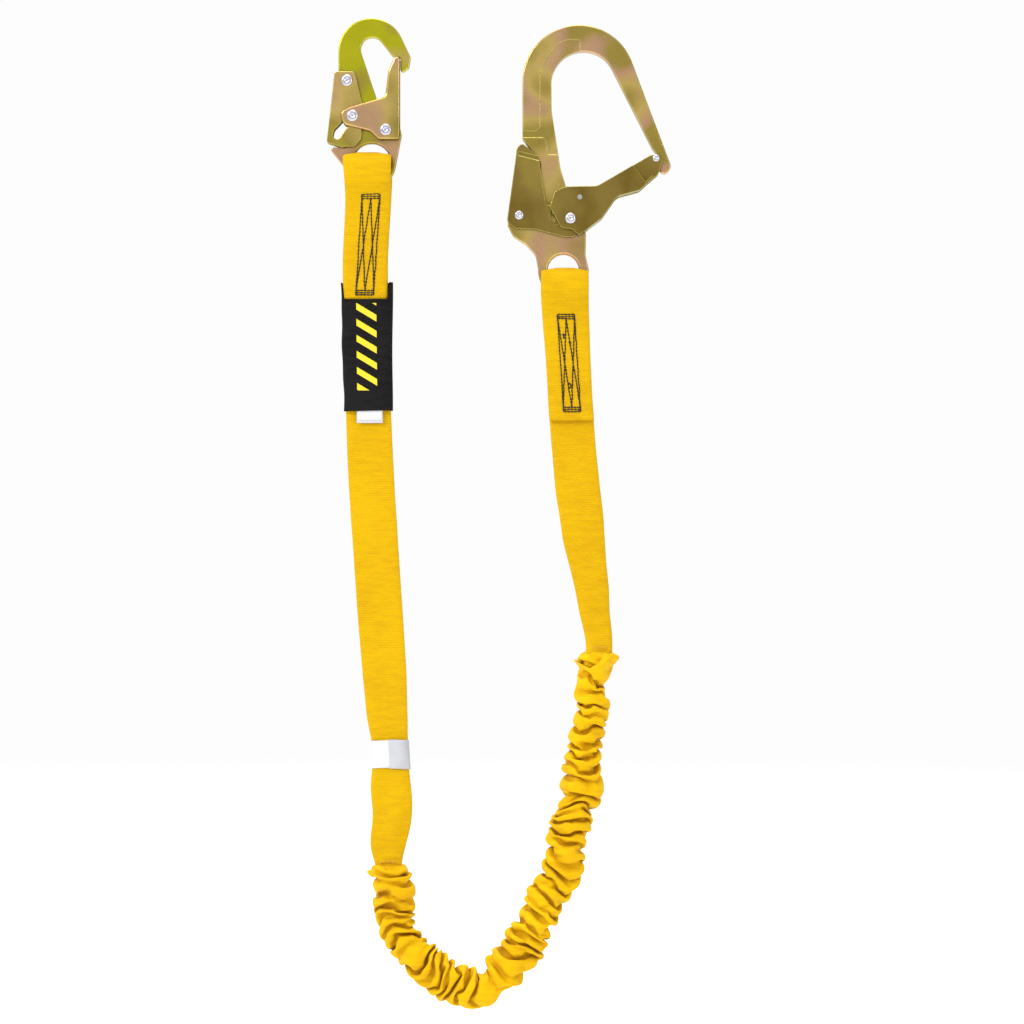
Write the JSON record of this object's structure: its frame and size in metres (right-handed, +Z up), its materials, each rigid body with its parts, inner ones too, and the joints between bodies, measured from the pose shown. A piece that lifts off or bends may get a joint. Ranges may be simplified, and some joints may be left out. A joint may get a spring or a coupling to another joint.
{
  "type": "shock absorbing lanyard",
  "caption": "Fall arrest lanyard: tubular webbing with an elastic gathered length that hides an absorber core, a locking snap hook at one end and a locking rebar hook at the other.",
  "frame": {"origin": "centre of the snap hook's bowl, on the middle plane of its body", "axes": "+Z up along the hanging lanyard, +X towards the rebar hook, -Y the front face"},
  "size_m": [0.2916, 0.028, 0.8373],
  "materials": {
    "zinc_steel": "yellow zinc dichromate over forged and pressed steel",
    "bright_steel": "bright plated",
    "spring_wire": "drawn wire",
    "webbing": "woven tubular polyester",
    "wear_pad": "plain weave",
    "absorber_core": "partially oriented yarn",
    "elastic": "covered elastic",
    "black_thread": "bonded thread",
    "yellow_thread": "bonded thread",
    "cover": "woven nylon",
    "label_white": "coated label stock",
    "clear_film": "clear film"
  },
  "bodies": {
    "snap_hook": {"snap_hook_body": "zinc_steel", "snap_gate_rivet": "bright_steel", "snap_lever_rivet": "bright_steel", "snap_gate_washer": "bright_steel", "snap_gate_spring": "spring_wire", "snap_lever_spring": "spring_wire"},
    "snap_gate": {"snap_gate": "zinc_steel", "snap_lock_pin": "bright_steel"},
    "snap_lever": {"snap_lock_lever": "zinc_steel"},
    "snap_strap": {"snap_end_webbing": "webbing", "snap_wear_pad": "wear_pad", "snap_end_core": "absorber_core", "snap_stitching": "black_thread", "label_pages": "label_white", "serial_label": "label_white", "label_film": "clear_film", "elastic_tack_snap_side": "yellow_thread", "gather_jacket_snap_side": "webbing", "absorber_core_snap_side": "absorber_core", "elastic_strands_snap_side": "elastic"},
    "label_cover": {"label_cover": "cover"},
    "gather": {"gather_jacket_rebar_side": "webbing", "absorber_core_rebar_side": "absorber_core", "elastic_strands_rebar_side": "elastic"},
    "rebar_strap": {"rebar_end_webbing": "webbing", "rebar_wear_pad": "wear_pad", "rebar_end_core": "absorber_core", "rebar_stitching": "black_thread", "elastic_tack_rebar_side": "yellow_thread"},
    "rebar_hook": {"rebar_hook_body": "zinc_steel", "rebar_gate_rivet": "bright_steel", "rebar_lever_rivet": "bright_steel", "rebar_gate_washer": "bright_steel", "rebar_gate_spring": "spring_wire", "rebar_lever_spring": "spring_wire"},
    "rebar_gate": {"rebar_gate": "zinc_steel", "rebar_nose_pin": "bright_steel", "rebar_spring_studs": "bright_steel"},
    "rebar_lever": {"rebar_lock_lever": "zinc_steel"}
  },
  "joints": [
    {"name": "snap_lever_squeeze", "type": "hinge", "parent": "snap_hook", "child": "snap_lever", "pos_m": [-0.0214, 0, -0.0272], "axis": [0, -1, 0], "range_deg": [0, 13], "stiffness_Nm_per_rad": 0.35, "springref_deg": -17.19, "deforming": ["snap_lever_spring"]},
    {"name": "snap_gate_open", "type": "hinge", "parent": "snap_hook", "child": "snap_gate", "pos_m": [0.0115, 0, -0.0693], "axis": [0, -1, 0], "range_deg": [0, 26], "deforming": ["snap_gate_spring"]},
    {"name": "snap_strap_swing", "type": "hinge", "parent": "snap_hook", "child": "snap_strap", "pos_m": [-0.0004, 0, -0.11], "axis": [1, 0, 0], "range_deg": [-12, 12]},
    {"name": "label_cover_slide", "type": "slide", "parent": "snap_strap", "child": "label_cover", "axis": [-0.025, 0, 0.9997], "range_m": [0, 0.04]},
    {"name": "gather_bend", "type": "hinge", "parent": "snap_strap", "child": "gather", "pos_m": [0.0942, 0, -0.7974], "axis": [0, -1, 0], "range_deg": [-60, 0], "deforming": ["gather_jacket_snap_side", "absorber_core_snap_side", "elastic_strands_snap_side"]},
    {"name": "gather_stretch", "type": "slide", "parent": "gather", "child": "rebar_strap", "axis": [0, 0, 1], "range_m": [0, 0.154], "stiffness_N_per_m": 180, "springref_m": -0.02, "deforming": ["gather_jacket_rebar_side", "absorber_core_rebar_side", "elastic_strands_rebar_side"]},
    {"name": "rebar_hook_swing", "type": "hinge", "parent": "rebar_strap", "child": "rebar_hook", "pos_m": [0.1622, 0, -0.2035], "axis": [1, 0, 0], "range_deg": [-12, 12]},
    {"name": "rebar_lever_squeeze", "type": "hinge", "parent": "rebar_hook", "child": "rebar_lever", "pos_m": [0.1246, 0, -0.1416], "axis": [0, 1, 0], "range_deg": [0, 5], "stiffness_Nm_per_rad": 1.2, "springref_deg": -11.46, "deforming": ["rebar_lever_spring"]},
    {"name": "rebar_gate_open", "type": "hinge", "parent": "rebar_hook", "child": "rebar_gate", "pos_m": [0.1681, 0, -0.1444], "axis": [0, -1, 0], "range_deg": [0, 42], "deforming": ["rebar_gate_spring"]}
  ],
  "couplings": [
    {"joint": "snap_gate_open", "follows": "snap_lever_squeeze", "ratio": 2},
    {"joint": "rebar_gate_open", "follows": "rebar_lever_squeeze", "ratio": 8.4}
  ]
}
